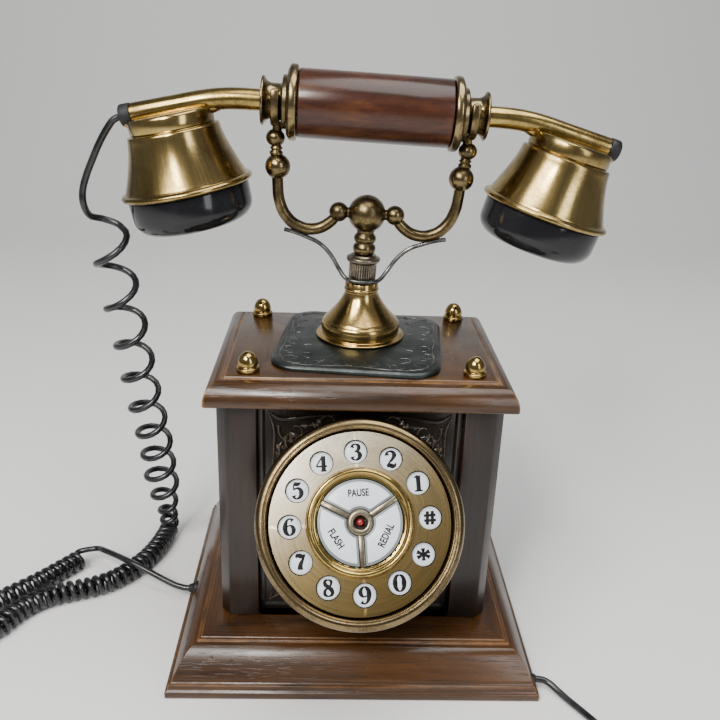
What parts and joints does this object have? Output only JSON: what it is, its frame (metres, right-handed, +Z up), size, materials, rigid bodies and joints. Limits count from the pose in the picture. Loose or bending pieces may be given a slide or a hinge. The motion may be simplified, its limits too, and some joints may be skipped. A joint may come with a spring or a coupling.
{
  "type": "push-button table telephone",
  "caption": "Old-style wooden box telephone with a tilted round push-button dial and a brass cradle that holds a wood and brass handset.",
  "frame": {"origin": "on the table, under the middle of the wooden box, in the plane of the base board", "axes": "+X right, -Y out of the dial side, +Z up"},
  "size_m": [0.4429, 0.2786, 0.3211],
  "materials": {
    "walnut": "satin lacquered walnut-stained wood, worn amber along the mouldings",
    "dark_wood": "nearly black stained wood",
    "rosewood": "glossy reddish-brown turned wood",
    "antique_brass": "brushed and lacquered antique brass",
    "dark_brass": "aged bronze-brown brass",
    "pale_brass": "brushed pale brass",
    "black_metal": "blued black metal with engraved scrolls",
    "steel": "grey steel",
    "black_plastic": "glossy black plastic",
    "white_plastic": "white plastic keys",
    "clear_plastic": "clear modular plug",
    "circuit_board": "green circuit board",
    "cord_black": "glossy black cord jacket"
  },
  "bodies": {
    "cabinet_body": {"acorn_nut_1": "antique_brass", "acorn_nut_2": "antique_brass", "acorn_nut_3": "antique_brass", "acorn_nut_4": "antique_brass", "base_board": "dark_wood", "cabinet": "walnut", "column_bell": "antique_brass", "dial_bezel": "antique_brass", "dial_face": "pale_brass", "dial_housing": "black_plastic", "dial_ring": "antique_brass", "front_panel": "dark_wood", "handset_cord_grommet": "black_plastic", "handset_cord_hang": "cord_black", "handset_cord_lead": "cord_black", "handset_cord_lying": "cord_black", "handset_cord_tail": "cord_black", "hook_switch": "black_plastic", "key_board": "circuit_board", "key_divider": "dark_brass", "line_cord": "cord_black", "line_cord_coil": "cord_black", "line_cord_grommet": "black_plastic", "line_cord_plug": "clear_plastic", "main_board": "circuit_board", "plinth": "walnut", "return_spring": "steel", "top_cap": "walnut", "top_plate": "black_metal"},
    "cradle": {"cradle_stem": "dark_brass", "cradle_yoke": "dark_brass", "wire_rest": "steel"},
    "handset": {"handset_grip": "rosewood", "receiver_cap": "black_plastic", "transmitter_cap": "black_plastic", "receiver_capsule": "steel", "transmitter_capsule": "steel", "left_ferrule": "dark_brass", "left_tube": "antique_brass", "left_cup": "antique_brass", "left_tube_plug": "black_plastic", "right_ferrule": "dark_brass", "right_tube": "antique_brass", "right_cup": "antique_brass", "right_tube_plug": "black_plastic"},
    "button_0": {"key_0": "white_plastic"},
    "button_1": {"key_1": "white_plastic"},
    "button_2": {"key_2": "white_plastic"},
    "button_3": {"key_3": "white_plastic"},
    "button_4": {"key_4": "white_plastic"},
    "button_5": {"key_5": "white_plastic"},
    "button_6": {"key_6": "white_plastic"},
    "button_7": {"key_7": "white_plastic"},
    "button_8": {"key_8": "white_plastic"},
    "button_9": {"key_9": "white_plastic"},
    "button_flash": {"key_flash": "white_plastic"},
    "button_hash": {"key_hash": "white_plastic"},
    "button_pause": {"key_pause": "white_plastic"},
    "button_redial": {"key_redial": "white_plastic"},
    "button_star": {"key_star": "white_plastic"}
  },
  "joints": [
    {"name": "handset_lift", "type": "slide", "parent": "cabinet_body", "child": "handset", "axis": [0.0384, 0, 0.9993], "range_m": [0, 0.06]},
    {"name": "hook_travel", "type": "slide", "parent": "cabinet_body", "child": "cradle", "axis": [0.0384, 0, 0.9993], "range_m": [0, 0.005], "stiffness_N_per_m": 100, "springref_m": 0.005, "deforming": ["return_spring"]},
    {"name": "press_0", "type": "slide", "parent": "cabinet_body", "child": "button_0", "axis": [0, 0.829, -0.5592], "range_m": [0, 0.002], "stiffness_N_per_m": 250},
    {"name": "press_1", "type": "slide", "parent": "cabinet_body", "child": "button_1", "axis": [0, 0.829, -0.5592], "range_m": [0, 0.002], "stiffness_N_per_m": 250},
    {"name": "press_2", "type": "slide", "parent": "cabinet_body", "child": "button_2", "axis": [0, 0.829, -0.5592], "range_m": [0, 0.002], "stiffness_N_per_m": 250},
    {"name": "press_3", "type": "slide", "parent": "cabinet_body", "child": "button_3", "axis": [0, 0.829, -0.5592], "range_m": [0, 0.002], "stiffness_N_per_m": 250},
    {"name": "press_4", "type": "slide", "parent": "cabinet_body", "child": "button_4", "axis": [0, 0.829, -0.5592], "range_m": [0, 0.002], "stiffness_N_per_m": 250},
    {"name": "press_5", "type": "slide", "parent": "cabinet_body", "child": "button_5", "axis": [0, 0.829, -0.5592], "range_m": [0, 0.002], "stiffness_N_per_m": 250},
    {"name": "press_6", "type": "slide", "parent": "cabinet_body", "child": "button_6", "axis": [0, 0.829, -0.5592], "range_m": [0, 0.002], "stiffness_N_per_m": 250},
    {"name": "press_7", "type": "slide", "parent": "cabinet_body", "child": "button_7", "axis": [0, 0.829, -0.5592], "range_m": [0, 0.002], "stiffness_N_per_m": 250},
    {"name": "press_8", "type": "slide", "parent": "cabinet_body", "child": "button_8", "axis": [0, 0.829, -0.5592], "range_m": [0, 0.002], "stiffness_N_per_m": 250},
    {"name": "press_9", "type": "slide", "parent": "cabinet_body", "child": "button_9", "axis": [0, 0.829, -0.5592], "range_m": [0, 0.002], "stiffness_N_per_m": 250},
    {"name": "press_flash", "type": "slide", "parent": "cabinet_body", "child": "button_flash", "axis": [0, 0.829, -0.5592], "range_m": [0, 0.002], "stiffness_N_per_m": 250},
    {"name": "press_hash", "type": "slide", "parent": "cabinet_body", "child": "button_hash", "axis": [0, 0.829, -0.5592], "range_m": [0, 0.002], "stiffness_N_per_m": 250},
    {"name": "press_pause", "type": "slide", "parent": "cabinet_body", "child": "button_pause", "axis": [0, 0.829, -0.5592], "range_m": [0, 0.002], "stiffness_N_per_m": 250},
    {"name": "press_redial", "type": "slide", "parent": "cabinet_body", "child": "button_redial", "axis": [0, 0.829, -0.5592], "range_m": [0, 0.002], "stiffness_N_per_m": 250},
    {"name": "press_star", "type": "slide", "parent": "cabinet_body", "child": "button_star", "axis": [0, 0.829, -0.5592], "range_m": [0, 0.002], "stiffness_N_per_m": 250}
  ],
  "couplings": [
    {"joint": "hook_travel", "follows": "handset_lift", "ratio": 0.08333}
  ]
}
